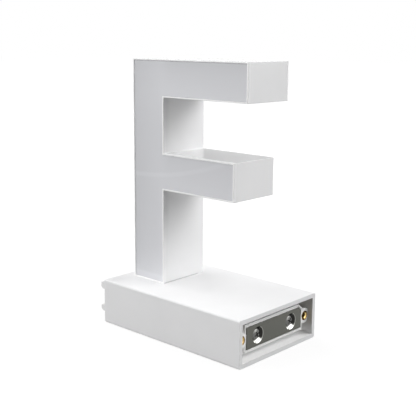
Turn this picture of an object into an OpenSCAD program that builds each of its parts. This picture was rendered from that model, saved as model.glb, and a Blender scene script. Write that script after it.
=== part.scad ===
// Light-up letter F that stands on a tube base. Bases plug together end to end
// in a row: a socket with a bar magnet on the right, a plug with sprung pins on the left.
// Front is -Y, the row runs along X, and the origin is the middle of the base's underside.

/* [Base tube] */
// Length of the base along the row of letters
base_len = 132; // [124:1:170]
// Depth of the base, front to back
base_depth = 83; // [74:1:100]
// Height of the base
base_h = 33; // [32:0.5:44]
// Wall of the tube
tube_wall = 3; // [2.4:0.1:3.2]
// Outside radius of the tube's long edges
tube_corner_r = 1.4; // [1:0.1:4]
// Inside radius of the tube's long edges
tube_inner_r = 0.8; // [0.4:0.1:1.5]

/* [Letter] */
// Width of the letter over its top arm
letter_w = 108; // [100:1:124]
// Height of the letter above the base
letter_h = 162.5; // [150:0.5:200]
// Depth of the letter, face to back
letter_depth = 42; // [38:1:50]
// Width of the stem
stem_w = 31; // [29:0.5:38]
// Height of each arm
arm_h = 26.5; // [22:0.5:32]
// Length of the middle arm from the stem's left side
mid_arm_len = 97.3; // [80:0.1:100]
// Height of the middle arm's underside above the base
mid_arm_z = 69.8; // [60:0.1:76]
// Distance from the base's left end to the stem
letter_x_inset = 8.4; // [6:0.1:12]
// Distance from the base's front to the letter's face
letter_y_inset = 23; // [16:0.5:28]
// Wall of the letter's shell
shell_wall = 1; // [0.8:0.1:2]
// How far the panel ledges stand in from the shell's wall
ledge_w = 1.5; // [1:0.1:2.5]
// Thickness of the panel ledges
ledge_t = 1.5; // [1:0.1:2.5]
// Thickness of the acrylic face
face_t = 3; // [2:0.5:4]
// How far the face lies behind the shell's front edge
face_inset = 0.3; // [0.1:0.1:0.6]
// Thickness of the back panel
back_t = 2; // [1.6:0.1:3]

/* [Connector body] */
// How far the socket's front lies inside the tube
socket_recess = 4; // [3.9:0.1:6]
// How far the plug's front stands out of the tube
plug_reach = 3.8; // [3.4:0.1:4]
// Depth of the moulded block behind its front
block_depth = 13.5; // [13:0.5:18]
// Thickness of the flange that fits the tube
flange_t = 3; // [2:0.5:4]
// How far the socket's flange lies inside the tube
socket_flange_in = 14; // [13:0.5:16]
// How far the plug's flange lies inside the tube
plug_flange_in = 1.5; // [1:0.5:3]
// Strip of the block's front at each end of the magnet
side_strip = 1.4; // [1.2:0.1:2]
// Strip of the block's front above the magnet
top_strip = 2.4; // [1.6:0.1:3]
// Strip of the block's front below the magnet
low_strip = 1.7; // [1.4:0.1:2.4]
// Width of the raised border round the block's front
border_w = 0.9; // [0.6:0.1:1]
// Height of the raised border
border_t = 0.6; // [0.4:0.1:1]
// Legs of the block's cut-off corner
block_key = 4; // [3:0.1:4.5]
// Diameter of the boss round each contact
boss_d = 10.8; // [9.6:0.1:11.4]
// Distance from the base's side to each contact's axis
contact_inset = 6.9; // [6.8:0.1:7.8]
// How far the magnet and contacts lie above the tube's middle
axis_rise = 0.4; // [0:0.1:0.8]

/* [Magnet] */
// Distance from the base's side to the magnet's end
magnet_inset = 11.5; // [11.5:0.1:14]
// Height of the bar magnet
magnet_h = 15.2; // [14:0.1:15.6]
// Thickness of the bar magnet
magnet_t = 5; // [4.5:0.5:6]
// Legs of the magnet's cut-off corner
magnet_key = 2.4; // [2.2:0.1:3]
// How far the magnet stands out of its pocket's border
magnet_proud = 0.3; // [0:0.1:0.4]
// Distance from the magnet's end to each of its holes
hole_inset = 12; // [9:0.5:13]
// Mouth of each countersink
sink_d = 11.6; // [9:0.1:12]
// Hole through the magnet
magnet_bore_d = 4.4; // [4.2:0.1:4.8]

/* [Contacts] */
// Head of the brass contacts
contact_head_d = 6.8; // [6.4:0.1:7]
// Thickness of the contact head
contact_head_t = 0.9; // [0.6:0.1:1.2]
// Body of the brass contacts
contact_body_d = 5.6; // [5.2:0.1:6]
// Bore of the socket contact
contact_bore_d = 3.4; // [3.2:0.1:3.8]
// Depth of the socket contact's bore from its head
contact_bore_depth = 2.2; // [2:0.1:3]
// Mouth of the socket contact's dish
dish_d = 5.8; // [5:0.1:6]
// Depth of the socket contact's dish
dish_depth = 0.8; // [0.6:0.1:1]
// Diameter of the sprung pin in its barrel
pin_d = 3.4; // [3.2:0.1:3.6]
// Diameter of the pin's tip
pin_tip_d = 3; // [2.4:0.1:3]
// How far the pin stands out of the plug's front
pin_reach = 3.3; // [2.8:0.1:4]
// Travel of the pin
pin_travel = 2.4; // [1:0.1:2.8]
// Wire of the pin's spring
spring_wire_d = 0.4; // [0.3:0.05:0.5]
// Turns of the pin's spring
spring_turns = 8; // [5:1:9]

/* [Guide tabs] */
// How far the tabs reach past the tube
tab_reach = 7.6; // [6.6:0.1:8.5]
// Width of each tab, front to back
tab_w = 4.6; // [4:0.1:5]
// Underside of the upper tabs, above the magnet's axis
upper_tab_z = 7.2; // [6:0.1:7.6]
// Height of the upper tabs
upper_tab_h = 5.1; // [4:0.1:5.1]
// Top of the lower tabs, below the magnet's axis
lower_tab_z = 5.7; // [5.7:0.1:6.4]
// Height of the lower tabs
lower_tab_h = 4.2; // [3.4:0.1:4.6]

/* [Light] */
// Width of an LED strip
strip_w = 10; // [8:1:12]
// Thickness of an LED strip
strip_t = 1.2; // [0.8:0.1:1.6]
// Distance between LED packages
led_pitch = 16.6; // [12:0.1:20]
// Side of an LED package
led_side = 5; // [4:0.5:5]
// Thickness of an LED package
led_t = 1.6; // [1.2:0.1:2]
// Diameter of the wires over their insulation
wire_d = 1.8; // [1.4:0.1:2]

/* [Hidden] */

// Facets of the round forms, and of the spring's coil
$fn = 48;
coil_sides = 6;
coil_steps = 8;
// Sides of a wire, and the radius and steps of its bends
wire_sides = 8;
bend_r = 3;
bend_steps = 3;
// Overrun of every cut
cut = 1;
// Clearances: panel in shell, moulding in tube, pressed or screwed fits, running fit, stop
panel_gap = 0.1;
tube_gap = 0.15;
tight_gap = 0.05;
run_gap = 0.05;
stop_gap = 0.1;

// Places that several pieces share
tube_end = base_len / 2;
tube_side = base_depth / 2;
inner_side = tube_side - tube_wall;
ceiling_z = base_h - tube_wall;
axis_z = base_h / 2 + axis_rise;
contact_y = tube_side - contact_inset;
socket_front = tube_end - socket_recess;
plug_front = tube_end + plug_reach;
flange_side = inner_side - tube_gap;
flange_low = tube_wall + tube_gap;
flange_top = ceiling_z - tube_gap;
letter_x = letter_x_inset - tube_end;
stem_x = letter_x + stem_w / 2;
face_y = letter_y_inset - tube_side;
back_y = face_y + letter_depth;
letter_y = (face_y + back_y) / 2;
ledge_y = face_y + face_inset + face_t;
panel_y = back_y - back_t;
strip_y = panel_y - strip_t;

// Magnet, and the block's outline about its axis
magnet_len = base_depth - 2 * magnet_inset;
hole_span = magnet_len - 2 * hole_inset;
block_w = magnet_len + 2 * side_strip;
block_h = magnet_h + top_strip + low_strip;
block_rise = (top_strip - low_strip) / 2;
floor_x = magnet_proud - magnet_t;

// Magnet screws: flat heads that sit in the countersinks
magnet_head_d = 7.6;
magnet_screw_d = 3.9;
magnet_screw_len = 10;
recess_span = 4.2;
recess_slot = 0.9;
recess_depth = 1;

// Screws from the underside that hold the two connectors
fix_inset = 19.5;
fix_y = tube_side - fix_inset;
fix_head_d = 5.6;
fix_screw_d = 2.9;
fix_screw_len = 9;
lug_side = 9;
lug_top = 9;
core_w = 22;
core_h = 10;
core_floor = 2.2;

// Letter's foot: plate, its tapped bosses, screws, and the way for the wires
foot_plate_t = 3;
foot_boss_d = 8;
foot_boss_h = 5;
foot_screw_span = 24;
letter_screw_d = 4;
letter_head_d = 7;
letter_head_t = 2.6;
letter_screw_len = 12;
access_d = 8;
grommet_hole_d = 9;
grommet_flange_d = 12;
grommet_flange_t = 1.2;
grommet_bore_d = 5;
foot_hole_gap = 0.5;

// Back panel screws and their bosses in the shell
back_boss_d = 6;
back_boss_len = 12;
back_boss_foot = 14;
back_head_d = 4.6;
back_head_rim = 0.5;
back_boss_in = shell_wall + back_head_rim + back_head_d / 2;
back_screw_d = 2.3;
back_screw_len = 9;

// Contact tails, barrel and pin
sleeve_len = 14;
tail_len = 6;
tail_t = 0.8;
tail_h = 3;
barrel_back = 1.5;
barrel_lip = 1.5;
pin_collar_rim = 0.4;
pin_collar_d = pin_d + 2 * pin_collar_rim;
pin_step = 0.4;
pin_collar_t = 2;
pin_nub_d = 2;
pin_nub_len = 1.5;
spring_d = 3.1;
spring_spare = 3.4;
spring_solid = (spring_turns + 1) * spring_wire_d;
barrel_len = barrel_lip + stop_gap + pin_collar_t + pin_travel + spring_solid + spring_spare + barrel_back;
tab_cut = 1.6;

// Light strips and their wires
strip_foot = 10;
strip_end = 8;
strip_join = 1;
led_start = 15;
arm_led_start = 8;
led_lens_share = 0.8;
led_lens_depth = 0.4;
jumper_d = 0.8;
jumper_len = 5;
jumper_step = 2.5;
feed_step = 1;
feed_low = 9;
feed_clear = 3.5;
feed_pad = 19;
bus_drop = 9;
bus_lead = 3;

// Outline of the letter F in its own plane, moved in by a margin on every side
mid_top = mid_arm_z + arm_h;
top_low = letter_h - arm_h;
function f_points(in) = [
    [in, in], [stem_w - in, in],
    [stem_w - in, mid_arm_z + in], [mid_arm_len - in, mid_arm_z + in],
    [mid_arm_len - in, mid_top - in], [stem_w - in, mid_top - in],
    [stem_w - in, top_low + in], [letter_w - in, top_low + in],
    [letter_w - in, letter_h - in], [in, letter_h - in]
];

// Places of the back panel's screws in the letter's plane
back_screw_places = [
    [back_boss_in, back_boss_foot], [stem_w - back_boss_in, back_boss_foot],
    [back_boss_in, mid_arm_z + arm_h / 2], [mid_arm_len - back_boss_in, mid_arm_z + back_boss_in],
    [mid_arm_len - back_boss_in, mid_top - back_boss_in], [back_boss_in, letter_h - back_boss_in],
    [letter_w - back_boss_in, top_low + back_boss_in], [letter_w - back_boss_in, letter_h - back_boss_in]
];

// Rectangle with its upper right corner cut off, moved in by a margin on every side
function keyed_points(w, h, key, in) = let (x = w / 2 - in, y = h / 2 - in, k = key - in * (2 - sqrt(2))) [
    [-x, -y], [x, -y], [x, y - k], [x - k, y], [-x, y]
];

// Rectangle with round corners
module round_rect(w, h, r) {
    square([w - 2 * r, h], center = true);
    square([w, h - 2 * r], center = true);
    for (sx = [-1, 1], sy = [-1, 1])
        translate([sx * (w / 2 - r), sy * (h / 2 - r)]) circle(r);
}

// Turns a flat outline in Y and Z into a slab from x0 to x1
module slab_x(x0, x1) {
    translate([x0, 0, 0]) rotate([90, 0, 90]) linear_extrude(x1 - x0) children();
}

// Letter outline as a slab from y0 to y1
module f_slab(in, y0, y1) {
    translate([letter_x, y1, base_h]) rotate([90, 0, 0]) linear_extrude(y1 - y0) polygon(f_points(in));
}

// Round bar along +X from x0 to x1
module bar_x(d, x0, x1) {
    translate([x0, 0, 0]) rotate([0, 90, 0]) cylinder(d = d, h = x1 - x0);
}

// Cone along +X, from diameter d0 at x0 to d1 at x1
module cone_x(d0, d1, x0, x1) {
    translate([x0, 0, 0]) rotate([0, 90, 0]) cylinder(d1 = d0, d2 = d1, h = x1 - x0);
}

// Round post along +Z from z0 to z1
module post(place, d, z0, z1) {
    translate([place.x, place.y, z0]) cylinder(d = d, h = z1 - z0);
}

// Flat-head screw along -Z with its head's top at the origin
module flat_screw(head_d, shank_d, len) {
    difference() {
        union() {
            translate([0, 0, -(head_d - shank_d) / 2])
                cylinder(d1 = shank_d, d2 = head_d, h = (head_d - shank_d) / 2);
            post([0, 0], shank_d, -len, 0);
        }
        for (a = [0, 90])
            rotate([0, 0, a]) translate([0, 0, cut / 2 - recess_depth / 2])
                cube([head_d * recess_span / magnet_head_d, recess_slot, recess_depth + cut], center = true);
    }
}

// Hole for a flat-head screw along -Z, countersunk at the origin
module flat_hole(head_d, hole_d, len) {
    translate([0, 0, -(head_d - hole_d) / 2])
        cylinder(d1 = hole_d, d2 = head_d, h = (head_d - hole_d) / 2);
    post([0, 0], head_d, 0, cut);
    post([0, 0], hole_d, -len, 0);
}

// Points along a route, each inner corner turned into a bend
function bent(route) = [
    route[0],
    for (i = [1 : len(route) - 2], s = [0 : bend_steps]) let (
            t = s / bend_steps,
            from = route[i] + bend_r * unit(route[i - 1] - route[i]),
            to = route[i] + bend_r * unit(route[i + 1] - route[i])
        ) (1 - t) * (1 - t) * from + 2 * t * (1 - t) * route[i] + t * t * to,
    route[len(route) - 1]
];

// Tube swept along points: each ring stands square to the mean of the steps beside it
function unit(v) = v / norm(v);
function ahead(points, i) = i < len(points) - 1 ? unit(points[i + 1] - points[i]) : [0, 0, 0];
function behind(points, i) = i > 0 ? unit(points[i] - points[i - 1]) : [0, 0, 0];
function ring(points, i, d, sides) = let (
        along = unit(ahead(points, i) + behind(points, i)),
        out = unit(cross(along, [1, 1, 1])), up = cross(out, along)
    ) [for (j = [0 : sides - 1]) let (a = 360 * j / sides) points[i] + d / 2 * (cos(a) * out + sin(a) * up)];
module swept_tube(points, d, sides) {
    last = len(points) - 1;
    walls = [
        for (i = [0 : last - 1], j = [0 : sides - 1])
            let (a = i * sides + j, b = i * sides + (j + 1) % sides)
                each [[a, b, b + sides], [a, b + sides, a + sides]]
    ];
    start = [for (j = [1 : sides - 2]) [0, j + 1, j]];
    end = [for (f = start) last * sides * [1, 1, 1] + [f[0], f[2], f[1]]];
    polyhedron([for (i = [0 : last]) each ring(points, i, d, sides)], concat(walls, start, end));
}
module wire(route) {
    swept_tube(bent(route), wire_d, wire_sides);
}

// Places a piece made about the connector axis, front at x = 0, into the socket or the plug end
module at_socket() {
    translate([socket_front, 0, axis_z]) children();
}
module at_plug() {
    translate([-plug_front, 0, axis_z]) mirror([1, 0, 0]) children();
}

// Base: a plain rectangular tube with the holes for the screws and the wires
module base_tube() {
    color("white") difference() {
        translate([0, 0, base_h / 2]) slab_x(-tube_end, tube_end) difference() {
            round_rect(base_depth, base_h, tube_corner_r);
            round_rect(base_depth - 2 * tube_wall, base_h - 2 * tube_wall, tube_inner_r);
        }
        for (p = foot_screw_places) {
            post(p, access_d, -cut, tube_wall + cut);
            post(p, letter_screw_d + 2 * foot_hole_gap, ceiling_z - cut, base_h + cut);
        }
        post([stem_x, letter_y], grommet_hole_d, ceiling_z - cut, base_h + cut);
        for (p = fix_places)
            translate([p.x, p.y, 0]) mirror([0, 0, 1])
                flat_hole(fix_head_d + 4 * tight_gap, fix_screw_d + 2 * foot_hole_gap, tube_wall + cut);
    }
}

// Places of the screws under the socket and under the plug, and of those up into the letter
fix_places = [
    for (x = [
        tube_end - socket_flange_in - flange_t - lug_side / 2,
        plug_flange_in + flange_t + lug_side / 2 - tube_end
    ], s = [-1, 1]) [x, s * fix_y]
];
foot_screw_places = [for (s = [-1, 1]) [stem_x, letter_y + s * foot_screw_span / 2]];
module connector_screws() {
    color("silver") for (p = fix_places)
        translate([p.x, p.y, tight_gap]) mirror([0, 0, 1])
            flat_screw(fix_head_d, fix_screw_d, fix_screw_len);
}

// Puts a piece made along Z at each of the back panel's screws, with +Z to the rear
module at_back_screws(y) {
    for (p = back_screw_places) translate([letter_x + p.x, y, base_h + p.y]) rotate([-90, 0, 0]) children();
}

// Letter: a shell open at front and back, with a ledge behind each panel and screw bosses at the back
module letter_shell() {
    color("white") difference() {
        union() {
            difference() {
                f_slab(0, face_y, back_y);
                f_slab(shell_wall, face_y - cut, back_y + cut);
            }
            for (y = [ledge_y, panel_y - ledge_t]) difference() {
                f_slab(shell_wall / 2, y, y + ledge_t);
                f_slab(shell_wall + ledge_w, y - cut, y + ledge_t + cut);
            }
            at_back_screws(panel_y) post([0, 0], back_boss_d, -back_boss_len, 0);
        }
        at_back_screws(panel_y) post([0, 0], back_screw_d + 2 * tight_gap, -back_screw_len, cut);
        for (p = foot_screw_places)
            post(p, letter_screw_d + 2 * foot_hole_gap, base_h - cut, foot_plate_z + cut);
        post([stem_x, letter_y], grommet_flange_d + 2 * foot_hole_gap, base_h - cut, foot_plate_z + cut);
    }
}

// Translucent acrylic face that lies on the front ledge
module face_panel() {
    color("lightgrey") f_slab(shell_wall + panel_gap, face_y + face_inset, ledge_y);
}

// Back panel, screwed to the bosses
module back_panel() {
    color("white") difference() {
        f_slab(shell_wall + panel_gap, panel_y, back_y);
        at_back_screws(back_y) flat_hole(back_head_d, back_screw_d + 2 * tight_gap, back_t + cut);
    }
}
module back_panel_screws() {
    color("silver") at_back_screws(back_y) flat_screw(back_head_d, back_screw_d, back_screw_len);
}

// Steel plate in the letter's foot, with tapped bosses and a hole round the grommet
foot_plate_z = base_h + shell_wall;
foot_boss_top = foot_plate_z + foot_plate_t + foot_boss_h;
module foot_plate() {
    side_gap = shell_wall + panel_gap;
    end_gap = ledge_t + panel_gap;
    color("silver") difference() {
        union() {
            translate([letter_x + side_gap, ledge_y + end_gap, foot_plate_z])
                cube([stem_w - 2 * side_gap, panel_y - ledge_y - 2 * end_gap, foot_plate_t]);
            for (p = foot_screw_places) post(p, foot_boss_d, foot_plate_z, foot_boss_top);
        }
        for (p = foot_screw_places)
            post(p, letter_screw_d + 2 * tight_gap, foot_plate_z - cut, foot_boss_top + cut);
        post(
            [stem_x, letter_y], grommet_flange_d + 2 * foot_hole_gap,
            foot_plate_z - cut, foot_plate_z + foot_plate_t + cut
        );
    }
}

// Screws from inside the tube up into the foot plate
module letter_screws() {
    color("silver") for (p = foot_screw_places) translate([p.x, p.y, ceiling_z]) difference() {
        union() {
            post([0, 0], letter_screw_d, -letter_head_t, letter_screw_len);
            post([0, 0], letter_head_d, -letter_head_t, 0);
        }
        for (a = [0, 90]) rotate([0, 0, a]) translate([0, 0, recess_depth / 2 - cut / 2 - letter_head_t])
            cube([recess_span, recess_slot, recess_depth + cut], center = true);
    }
}

// Rubber grommet in the tube's top wall
module grommet() {
    place = [stem_x, letter_y];
    low = ceiling_z - grommet_flange_t;
    high = base_h + grommet_flange_t;
    color("dimgray") difference() {
        union() {
            post(place, grommet_flange_d, low, ceiling_z);
            post(place, grommet_hole_d - 2 * tight_gap, low, high);
            post(place, grommet_flange_d, base_h, high);
        }
        post(place, grommet_bore_d, low - cut, high + cut);
    }
}

// LED strips on the back panel: up the stem and out along each arm
strip_low = base_h + strip_foot;
strip_high = base_h + letter_h - strip_end;
arm_strip_x = stem_x + strip_w / 2 + strip_join;
top_strip_z = base_h + letter_h - arm_h / 2;
mid_strip_z = base_h + mid_arm_z + arm_h / 2;
top_strip_len = letter_x + letter_w - strip_end - arm_strip_x;
mid_strip_len = letter_x + mid_arm_len - strip_end - arm_strip_x;
module led_strip_stem() {
    color("white") translate([stem_x - strip_w / 2, strip_y, strip_low])
        cube([strip_w, strip_t, strip_high - strip_low]);
}
module arm_strip(z, length) {
    color("white") translate([arm_strip_x, strip_y, z - strip_w / 2]) cube([length, strip_t, strip_w]);
}
module led_strip_top() {
    arm_strip(top_strip_z, top_strip_len);
}
module led_strip_middle() {
    arm_strip(mid_strip_z, mid_strip_len);
}

// One LED package on a strip's front, with its round dish
module led_package(x, z) {
    translate([x, strip_y, z]) rotate([90, 0, 0]) difference() {
        translate([-led_side / 2, -led_side / 2, 0]) cube([led_side, led_side, led_t]);
        post([0, 0], led_side * led_lens_share, led_t - led_lens_depth, led_t + cut);
    }
}
module led_packages() {
    color("khaki") {
        for (z = [strip_low + led_start : led_pitch : strip_high - led_side]) led_package(stem_x, z);
        arm_leds(top_strip_len, top_strip_z);
        arm_leds(mid_strip_len, mid_strip_z);
    }
}
module arm_leds(length, z) {
    for (x = [arm_led_start : led_pitch : length - led_side]) led_package(arm_strip_x + x, z);
}

// Short bare wires that carry the stem strip's current over to the arm strips
module strip_jumpers() {
    color("gold") for (z = [top_strip_z, mid_strip_z], s = [-1, 1])
        translate([arm_strip_x - strip_join / 2, strip_y - jumper_d / 2, z + s * jumper_step])
            bar_x(jumper_d, -jumper_len / 2, jumper_len / 2);
}

// Moulded block with its raised border, contact bosses, magnet pocket and rear core
module connector_block(flange_x) {
    difference() {
        union() {
            translate([0, 0, block_rise]) {
                slab_x(-block_depth, -border_t) polygon(keyed_points(block_w, block_h, block_key, 0));
                slab_x(-border_t - tight_gap, 0) difference() {
                    polygon(keyed_points(block_w, block_h, block_key, 0));
                    polygon(keyed_points(block_w, block_h, block_key, border_w));
                }
            }
            intersection() {
                for (s = [-1, 1]) translate([0, s * contact_y, 0]) bar_x(boss_d, -block_depth, 0);
                translate([-block_depth - cut, -flange_side, -base_h / 2])
                    cube([block_depth + 2 * cut, 2 * flange_side, base_h]);
            }
            translate([0, 0, -axis_rise]) slab_x(flange_x - flange_t, flange_x)
                round_rect(2 * flange_side, flange_top - flange_low, tube_inner_r);
            for (s = [-1, 1])
                translate([flange_x - flange_t - lug_side, s * fix_y - lug_side / 2, flange_low - axis_z])
                    cube([lug_side + flange_t / 2, lug_side, lug_top]);
        }
        slab_x(floor_x, cut) polygon(keyed_points(magnet_len, magnet_h, magnet_key, -panel_gap));
        for (s = [-1, 1]) {
            translate([0, s * hole_span / 2, 0])
                bar_x(magnet_screw_d + 2 * tight_gap, screw_top - magnet_screw_len - tight_gap, cut);
            translate([0, s * contact_y, 0]) {
                bar_x(contact_body_d + 2 * tight_gap, -block_depth - cut, cut);
                bar_x(contact_head_d + 2 * tight_gap, -contact_head_t, cut);
            }
            post(
                [flange_x - flange_t - lug_side / 2, s * fix_y], fix_screw_d + 2 * tight_gap,
                flange_low - axis_z - cut, fix_screw_len + cut - axis_z
            );
        }
        translate([-block_depth - cut, -core_w / 2, -core_h / 2])
            cube([block_depth + floor_x - core_floor + cut, core_w, core_h]);
    }
}
module socket_body() {
    color("white") at_socket() connector_block(socket_recess - socket_flange_in);
}

// Plug: the same block further out, with four guide tabs for the next base's tube
module plug_body() {
    color("white") at_plug() {
        connector_block(-plug_reach - plug_flange_in);
        for (s = [-1, 1]) {
            guide_tab(s, upper_tab_z, upper_tab_z + upper_tab_h);
            guide_tab(s, -lower_tab_z - lower_tab_h, -lower_tab_z);
        }
    }
}

// Tab from z0 to z1, its underside cut back at the tip
module guide_tab(side, z0, z1) {
    tip = tab_reach - plug_reach;
    root = -plug_reach - plug_flange_in - flange_t / 2;
    y0 = side > 0 ? flange_side - tube_gap - tab_w : tube_gap - flange_side;
    translate([0, y0 + tab_w, 0]) rotate([90, 0, 0]) linear_extrude(tab_w)
        polygon([[root, z0], [tip - tab_cut, z0], [tip, z0 + tab_cut], [tip, z1], [root, z1]]);
}

// Nickel-plated bar magnet with two countersunk holes
module magnet() {
    color("dimgray") difference() {
        slab_x(floor_x, magnet_proud) polygon(keyed_points(magnet_len, magnet_h, magnet_key, 0));
        for (s = [-1, 1]) translate([magnet_proud, s * hole_span / 2, 0]) rotate([0, 90, 0])
            flat_hole(sink_d, magnet_bore_d, magnet_t + cut);
    }
}
module socket_magnet() {
    at_socket() magnet();
}
module plug_magnet() {
    at_plug() magnet();
}

// Place of the screw heads' tops, where the countersink is as wide as a head
screw_top = magnet_proud - (sink_d - magnet_head_d) / 2 + tight_gap;
module magnet_screws() {
    color("silver") for (s = [-1, 1]) translate([screw_top, s * hole_span / 2, 0]) rotate([0, 90, 0])
        flat_screw(magnet_head_d, magnet_screw_d, magnet_screw_len);
}
module socket_magnet_screws() {
    at_socket() magnet_screws();
}
module plug_magnet_screws() {
    at_plug() magnet_screws();
}

// Flat solder tail behind a contact
module tail(x) {
    translate([x - tail_len, -tail_t / 2, -tail_h / 2]) cube([tail_len + tight_gap, tail_t, tail_h]);
}

// Brass socket contact: a dished head with a blind bore
module sleeve(side) {
    color("goldenrod") at_socket() translate([0, side * contact_y, 0]) {
        difference() {
            union() {
                bar_x(contact_head_d, -contact_head_t, 0);
                bar_x(contact_body_d, -sleeve_len, 0);
            }
            bar_x(contact_bore_d, -contact_bore_depth, cut);
            cone_x(contact_bore_d, dish_d, -dish_depth, 0);
        }
        tail(-sleeve_len);
    }
}
module socket_sleeve_front() {
    sleeve(-1);
}
module socket_sleeve_rear() {
    sleeve(1);
}

// Brass barrel that holds a sprung pin
module barrel(side) {
    color("goldenrod") at_plug() translate([0, side * contact_y, 0]) {
        difference() {
            union() {
                bar_x(contact_head_d, -contact_head_t, 0);
                bar_x(contact_body_d, -barrel_len, 0);
            }
            bar_x(pin_collar_d + 2 * run_gap, barrel_back - barrel_len, -barrel_lip);
            bar_x(pin_d + 2 * run_gap, -barrel_lip - cut, cut);
        }
        tail(-barrel_len);
    }
}
module plug_barrel_front() {
    barrel(-1);
}
module plug_barrel_rear() {
    barrel(1);
}

// Sprung pin: stepped round tip, stop collar and spring nub
collar_front = -barrel_lip - stop_gap;
module pin(side) {
    color("gold") at_plug() translate([0, side * contact_y, 0]) {
        bar_x(pin_d, collar_front - tight_gap, pin_step);
        bar_x(pin_tip_d, collar_front, pin_reach - pin_tip_d / 2);
        translate([pin_reach - pin_tip_d / 2, 0, 0]) sphere(d = pin_tip_d);
        bar_x(pin_collar_d, collar_front - pin_collar_t, collar_front);
        bar_x(pin_nub_d, collar_front - pin_collar_t - pin_nub_len, collar_front - pin_collar_t + tight_gap);
    }
}
module plug_pin_front() {
    pin(-1);
}
module plug_pin_rear() {
    pin(1);
}

// Coil spring between the barrel's back and the pin's collar, as one swept tube
spring_back = barrel_back - barrel_len + spring_wire_d / 2 + tight_gap;
spring_front = collar_front - pin_collar_t - spring_wire_d / 2 - tight_gap;
function coil_point(t) = let (a = t * 360 * spring_turns)
    [spring_back + (spring_front - spring_back) * t, spring_d / 2 * cos(a), spring_d / 2 * sin(a)];
module spring(side) {
    steps = spring_turns * coil_steps;
    color("silver") at_plug() translate([0, side * contact_y, 0])
        swept_tube([for (i = [0 : steps]) coil_point(i / steps)], spring_wire_d, coil_sides);
}
module plug_spring_front() {
    spring(-1);
}
module plug_spring_rear() {
    spring(1);
}

// Bus wires from the plug's tails to the socket's tails, along the tube's floor
wire_low = tube_wall + wire_d / 2 + tight_gap;
plug_tail_x = barrel_len - plug_front;
socket_tail_x = socket_front - sleeve_len;
module bus_wire(side) {
    y = side * (contact_y + tail_t / 2 + wire_d / 2);
    plug_end = plug_tail_x + tail_len + bus_lead;
    socket_end = socket_tail_x - tail_len - bus_lead;
    color(side < 0 ? "firebrick" : "black") wire([
        [plug_tail_x + tail_len - tail_h, y, axis_z], [plug_end, y, axis_z],
        [plug_end + bus_drop, y, wire_low], [socket_end - bus_drop, y, wire_low],
        [socket_end, y, axis_z], [socket_tail_x - tail_len + tail_h, y, axis_z]
    ]);
}
module bus_wire_front() {
    bus_wire(-1);
}
module bus_wire_rear() {
    bus_wire(1);
}

// Feed wires from the plug's tails, round the screwdriver holes and up through the grommet to the stem strip
module feed_wire(side) {
    y = side * (contact_y - tail_t / 2 - wire_d / 2);
    loop_x = stem_x + access_d / 2 + feed_clear;
    up_x = stem_x + side * feed_step;
    up_y = letter_y + side * feed_step;
    color(side < 0 ? "firebrick" : "black") wire([
        [plug_tail_x + tail_len - tail_h, y, axis_z], [loop_x, y, axis_z],
        [loop_x, up_y, feed_low], [up_x, up_y, feed_low],
        [up_x, up_y, base_h + feed_pad], [up_x, strip_y, base_h + feed_pad]
    ]);
}
module feed_wire_front() {
    feed_wire(-1);
}
module feed_wire_rear() {
    feed_wire(1);
}

base_tube();
letter_shell();
face_panel();
back_panel();
back_panel_screws();
foot_plate();
letter_screws();
grommet();
led_strip_stem();
led_strip_top();
led_strip_middle();
led_packages();
strip_jumpers();
socket_body();
socket_magnet();
socket_magnet_screws();
socket_sleeve_front();
socket_sleeve_rear();
plug_body();
plug_magnet();
plug_magnet_screws();
plug_barrel_front();
plug_barrel_rear();
plug_pin_front();
plug_pin_rear();
plug_spring_front();
plug_spring_rear();
connector_screws();
bus_wire_front();
bus_wire_rear();
feed_wire_front();
feed_wire_rear();
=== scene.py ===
import math
import bpy
import bmesh
from mathutils import Matrix, Vector


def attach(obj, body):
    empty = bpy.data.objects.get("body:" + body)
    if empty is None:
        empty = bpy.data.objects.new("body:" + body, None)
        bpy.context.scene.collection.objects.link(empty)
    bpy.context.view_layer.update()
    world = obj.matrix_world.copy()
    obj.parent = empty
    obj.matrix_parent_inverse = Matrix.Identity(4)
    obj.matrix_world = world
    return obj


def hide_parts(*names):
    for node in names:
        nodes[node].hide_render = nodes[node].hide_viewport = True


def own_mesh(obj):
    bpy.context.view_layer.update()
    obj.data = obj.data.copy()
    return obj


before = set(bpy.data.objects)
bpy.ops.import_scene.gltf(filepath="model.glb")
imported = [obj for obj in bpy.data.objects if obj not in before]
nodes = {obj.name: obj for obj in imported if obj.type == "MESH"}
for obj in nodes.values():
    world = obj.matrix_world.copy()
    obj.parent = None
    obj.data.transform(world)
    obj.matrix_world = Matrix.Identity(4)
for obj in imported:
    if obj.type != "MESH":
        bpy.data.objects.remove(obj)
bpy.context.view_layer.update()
scene = bpy.context.scene
MM = 0.001
ROOT = "letter"

# Camera, fitted to the photograph's edges
CAMERA_PLACE = (0.3836, -0.4203, 0.2108)
CAMERA_YAW = 42.370
CAMERA_PITCH = 10.745
CAMERA_ROLL = -0.477
CAMERA_LENS = 70.451
CAMERA_SENSOR = 36
CAMERA_SHIFT = (-0.0012, -0.0391)
CAMERA_NEAR = 0.01


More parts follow.
